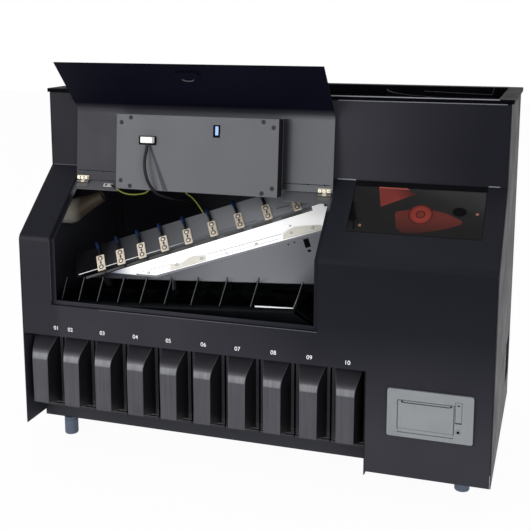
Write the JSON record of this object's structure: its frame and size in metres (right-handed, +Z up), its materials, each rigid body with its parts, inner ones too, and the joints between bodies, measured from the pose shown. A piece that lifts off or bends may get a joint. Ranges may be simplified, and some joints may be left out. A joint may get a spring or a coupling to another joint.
{
  "type": "coin counting machine",
  "caption": "Table-top coin sorter with an open service door over its coin track, a coin tray on top, narrow coin drawers below and a ticket printer at the right.",
  "frame": {"origin": "centre of the machine's footprint, on the surface it stands on", "axes": "+X to the machine's right seen from the front, +Y to its back, +Z up; the drawers face -Y"},
  "size_m": [0.696, 0.3479, 0.5808],
  "materials": {
    "case_paint": "fine texture, satin",
    "box_paint": "fine texture, satin",
    "foot_rubber": "matte",
    "shelf_steel": "satin",
    "guide_plastic": "matte",
    "drawer_plastic": "satin",
    "chute_plastic": "satin",
    "plate_paint": "satin",
    "rail_steel": "polished",
    "strip_plastic": "satin",
    "bracket_zinc": "plated",
    "coil_wrap": "wound",
    "plunger_steel": "ground",
    "disc_plastic": "satin",
    "disc_metal": "turned",
    "motor_metal": "satin",
    "window_red": "polished",
    "tray_plastic": "gloss",
    "duct_plastic": "satin",
    "screen_glass": "polished",
    "screw_steel": "plated",
    "hinge_metal": "plated",
    "plug_plastic": "gloss",
    "lead_rubber": "matte",
    "printer_plastic": "fine texture",
    "printer_inside": "matte",
    "paper": "matte",
    "inlet_plastic": "satin",
    "supply_metal": "satin",
    "board_green": "satin"
  },
  "bodies": {
    "case": {"base_pan": "case_paint", "feet": "foot_rubber", "front_cowl": "case_paint", "left_side_panel": "case_paint", "right_side_panel": "case_paint", "rear_cover": "case_paint", "inner_frame": "shelf_steel", "drawer_guides": "guide_plastic", "coin_chutes": "chute_plastic", "sorter_plate": "plate_paint", "coin_rail": "rail_steel", "rail_covers": "strip_plastic", "solenoid_plate": "plate_paint", "solenoid_brackets": "bracket_zinc", "solenoid_coils": "coil_wrap", "disc_housing": "disc_plastic", "disc_motor": "motor_metal", "window_pane": "window_red", "top_tray": "tray_plastic", "dust_duct": "duct_plastic", "frame_hinges": "hinge_metal", "case_screws": "screw_steel", "printer_bezel": "printer_plastic", "printer_body": "printer_inside", "power_inlet": "inlet_plastic", "power_supply": "supply_metal", "control_board": "board_green", "case_wiring": "lead_rubber"},
    "door": {"service_door": "case_paint", "electronics_box": "box_paint", "display_screen": "screen_glass", "box_screws": "screw_steel", "door_hinges": "hinge_metal", "usb_plug": "plug_plastic", "door_leads": "lead_rubber"},
    "drawer_01": {"drawer_01": "drawer_plastic"},
    "drawer_02": {"drawer_02": "drawer_plastic"},
    "drawer_03": {"drawer_03": "drawer_plastic"},
    "drawer_04": {"drawer_04": "drawer_plastic"},
    "drawer_05": {"drawer_05": "drawer_plastic"},
    "drawer_06": {"drawer_06": "drawer_plastic"},
    "drawer_07": {"drawer_07": "drawer_plastic"},
    "drawer_08": {"drawer_08": "drawer_plastic"},
    "drawer_09": {"drawer_09": "drawer_plastic"},
    "drawer_10": {"drawer_10": "drawer_plastic"},
    "kicker_01": {"kicker_01": "plunger_steel"},
    "kicker_02": {"kicker_02": "plunger_steel"},
    "kicker_03": {"kicker_03": "plunger_steel"},
    "kicker_04": {"kicker_04": "plunger_steel"},
    "kicker_05": {"kicker_05": "plunger_steel"},
    "kicker_06": {"kicker_06": "plunger_steel"},
    "kicker_07": {"kicker_07": "plunger_steel"},
    "kicker_08": {"kicker_08": "plunger_steel"},
    "kicker_09": {"kicker_09": "plunger_steel"},
    "coin_disc": {"coin_disc": "disc_metal"},
    "printer_cover": {"printer_cover": "printer_plastic"},
    "printer_lever": {"printer_lever": "printer_plastic"},
    "printer_button": {"printer_button": "printer_plastic"},
    "paper_roll": {"paper_roll": "paper"},
    "power_switch": {"power_switch": "inlet_plastic"}
  },
  "joints": [
    {"name": "door_hinge", "type": "hinge", "parent": "case", "child": "door", "pos_m": [-0.093, -0.08557, 0.39852], "axis": [1, 0, 0], "range_deg": [0, 137], "deforming": ["door_leads"]},
    {"name": "drawer_01_slide", "type": "slide", "parent": "case", "child": "drawer_01", "axis": [0, -1, 0], "range_m": [0, 0.2]},
    {"name": "drawer_02_slide", "type": "slide", "parent": "case", "child": "drawer_02", "axis": [0, -1, 0], "range_m": [0, 0.2]},
    {"name": "drawer_03_slide", "type": "slide", "parent": "case", "child": "drawer_03", "axis": [0, -1, 0], "range_m": [0, 0.2]},
    {"name": "drawer_04_slide", "type": "slide", "parent": "case", "child": "drawer_04", "axis": [0, -1, 0], "range_m": [0, 0.2]},
    {"name": "drawer_05_slide", "type": "slide", "parent": "case", "child": "drawer_05", "axis": [0, -1, 0], "range_m": [0, 0.2]},
    {"name": "drawer_06_slide", "type": "slide", "parent": "case", "child": "drawer_06", "axis": [0, -1, 0], "range_m": [0, 0.2]},
    {"name": "drawer_07_slide", "type": "slide", "parent": "case", "child": "drawer_07", "axis": [0, -1, 0], "range_m": [0, 0.2]},
    {"name": "drawer_08_slide", "type": "slide", "parent": "case", "child": "drawer_08", "axis": [0, -1, 0], "range_m": [0, 0.2]},
    {"name": "drawer_09_slide", "type": "slide", "parent": "case", "child": "drawer_09", "axis": [0, -1, 0], "range_m": [0, 0.2]},
    {"name": "drawer_10_slide", "type": "slide", "parent": "case", "child": "drawer_10", "axis": [0, -1, 0], "range_m": [0, 0.2]},
    {"name": "kicker_01_slide", "type": "slide", "parent": "case", "child": "kicker_01", "axis": [0, -0.6626, 0.749], "range_m": [0, 0.004], "stiffness_N_per_m": 60},
    {"name": "kicker_02_slide", "type": "slide", "parent": "case", "child": "kicker_02", "axis": [0, -0.6626, 0.749], "range_m": [0, 0.004], "stiffness_N_per_m": 60},
    {"name": "kicker_03_slide", "type": "slide", "parent": "case", "child": "kicker_03", "axis": [0, -0.6626, 0.749], "range_m": [0, 0.004], "stiffness_N_per_m": 60},
    {"name": "kicker_04_slide", "type": "slide", "parent": "case", "child": "kicker_04", "axis": [0, -0.6626, 0.749], "range_m": [0, 0.004], "stiffness_N_per_m": 60},
    {"name": "kicker_05_slide", "type": "slide", "parent": "case", "child": "kicker_05", "axis": [0, -0.6626, 0.749], "range_m": [0, 0.004], "stiffness_N_per_m": 60},
    {"name": "kicker_06_slide", "type": "slide", "parent": "case", "child": "kicker_06", "axis": [0, -0.6626, 0.749], "range_m": [0, 0.004], "stiffness_N_per_m": 60},
    {"name": "kicker_07_slide", "type": "slide", "parent": "case", "child": "kicker_07", "axis": [0, -0.6626, 0.749], "range_m": [0, 0.004], "stiffness_N_per_m": 60},
    {"name": "kicker_08_slide", "type": "slide", "parent": "case", "child": "kicker_08", "axis": [0, -0.6626, 0.749], "range_m": [0, 0.004], "stiffness_N_per_m": 60},
    {"name": "kicker_09_slide", "type": "slide", "parent": "case", "child": "kicker_09", "axis": [0, -0.6626, 0.749], "range_m": [0, 0.004], "stiffness_N_per_m": 60},
    {"name": "disc_spin", "type": "hinge", "parent": "case", "child": "coin_disc", "pos_m": [0.223, -0.02433, 0.36552], "axis": [0, -0.6626, 0.749], "continuous": true},
    {"name": "printer_cover_hinge", "type": "hinge", "parent": "case", "child": "printer_cover", "pos_m": [0.258, -0.1728, 0.1028], "axis": [1, 0, 0], "range_deg": [0, 85]},
    {"name": "printer_lever_hinge", "type": "hinge", "parent": "case", "child": "printer_lever", "pos_m": [0.30085, -0.1728, 0.124], "axis": [1, 0, 0], "range_deg": [0, 30]},
    {"name": "printer_button_press", "type": "slide", "parent": "case", "child": "printer_button", "axis": [0, 1, 0], "range_m": [0, 0.0012], "stiffness_N_per_m": 150},
    {"name": "paper_roll_spin", "type": "hinge", "parent": "case", "child": "paper_roll", "pos_m": [0.258, -0.1465, 0.124], "axis": [1, 0, 0], "continuous": true},
    {"name": "power_switch_rock", "type": "hinge", "parent": "case", "child": "power_switch", "pos_m": [-0.225, 0.1698, 0.1125], "axis": [1, 0, 0], "range_deg": [0, 14]}
  ]
}
